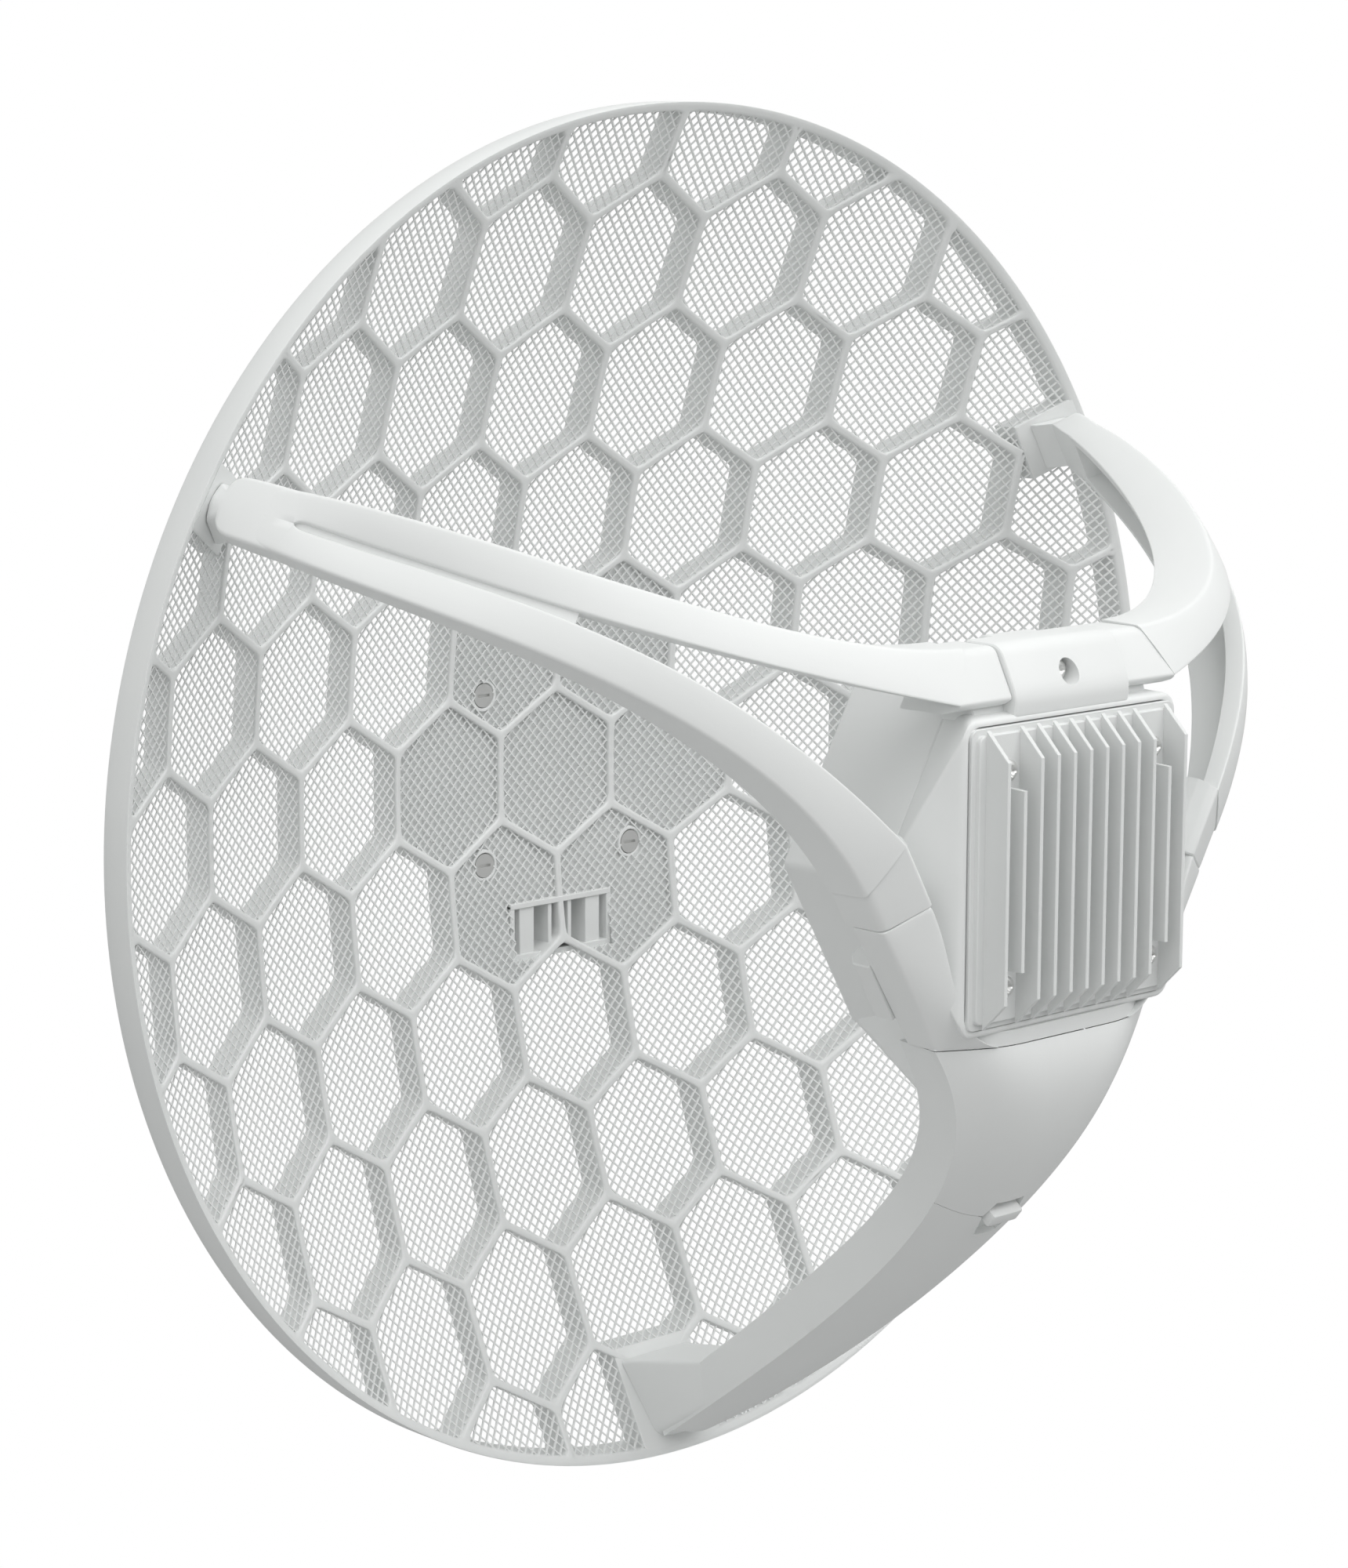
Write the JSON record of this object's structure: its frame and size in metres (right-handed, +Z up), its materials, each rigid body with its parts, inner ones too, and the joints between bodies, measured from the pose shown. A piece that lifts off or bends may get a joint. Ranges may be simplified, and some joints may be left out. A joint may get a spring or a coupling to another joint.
{
  "type": "wireless router",
  "caption": "Outdoor dish router: a honeycomb grid reflector on a pole saddle, with a finned router head held at the focus by three arms joined as hoops.",
  "frame": {"origin": "on the pole axis, level with the middle of the dish", "axes": "+Z up along the pole, -Y along the beam from the dish to the head, +X to the right seen from the front"},
  "size_m": [0.391, 0.2301, 0.391],
  "materials": {
    "casting": "fine satin powder coat, light grey white",
    "shell": "moulded plastic with fine spark texture, light grey white",
    "sink": "light grey powder coat on cast alloy, fine grain",
    "steel": "zinc plated steel",
    "rubber": "soft moulded gasket",
    "pad": "soft silicone pad",
    "board": "green solder mask",
    "chip": "black moulded package",
    "can": "tinned sheet steel",
    "copper": "tinned copper",
    "laminate": "pale laminate",
    "button": "black plastic",
    "clear": "clear moulded plastic"
  },
  "bodies": {
    "router": {"reflector": "casting", "pole_bracket": "shell", "bracket_screws": "steel", "arm_left": "shell", "arm_right": "shell", "arm_bottom": "shell", "rear_housing": "shell", "front_housing": "shell", "housing_seal": "rubber", "crown_screw": "steel", "heat_sink": "sink", "heat_sink_screws": "steel", "thermal_pad": "pad", "main_board": "board", "processor": "chip", "shield_can": "can", "antenna_plate": "laminate", "antenna_patch": "copper", "antenna_posts": "steel", "board_screws": "steel", "ethernet_jack": "can", "reset_switch": "chip", "light_guide": "clear"},
    "door": {"port_door": "shell"},
    "latch": {"door_latch": "shell"},
    "button": {"reset_button": "button"}
  },
  "joints": [
    {"name": "door_hinge", "type": "hinge", "parent": "router", "child": "door", "pos_m": [0, -0.2303, -0.0446], "axis": [-1, 0, 0], "range_deg": [0, 60]},
    {"name": "latch_slide", "type": "slide", "parent": "door", "child": "latch", "axis": [0, -0.665, 0.7469], "range_m": [0, 0.0015], "stiffness_N_per_m": 400, "springref_m": -0.001},
    {"name": "reset_press", "type": "slide", "parent": "router", "child": "button", "axis": [0, 0, 1], "range_m": [0, 0.0008], "stiffness_N_per_m": 500, "springref_m": -0.001}
  ]
}
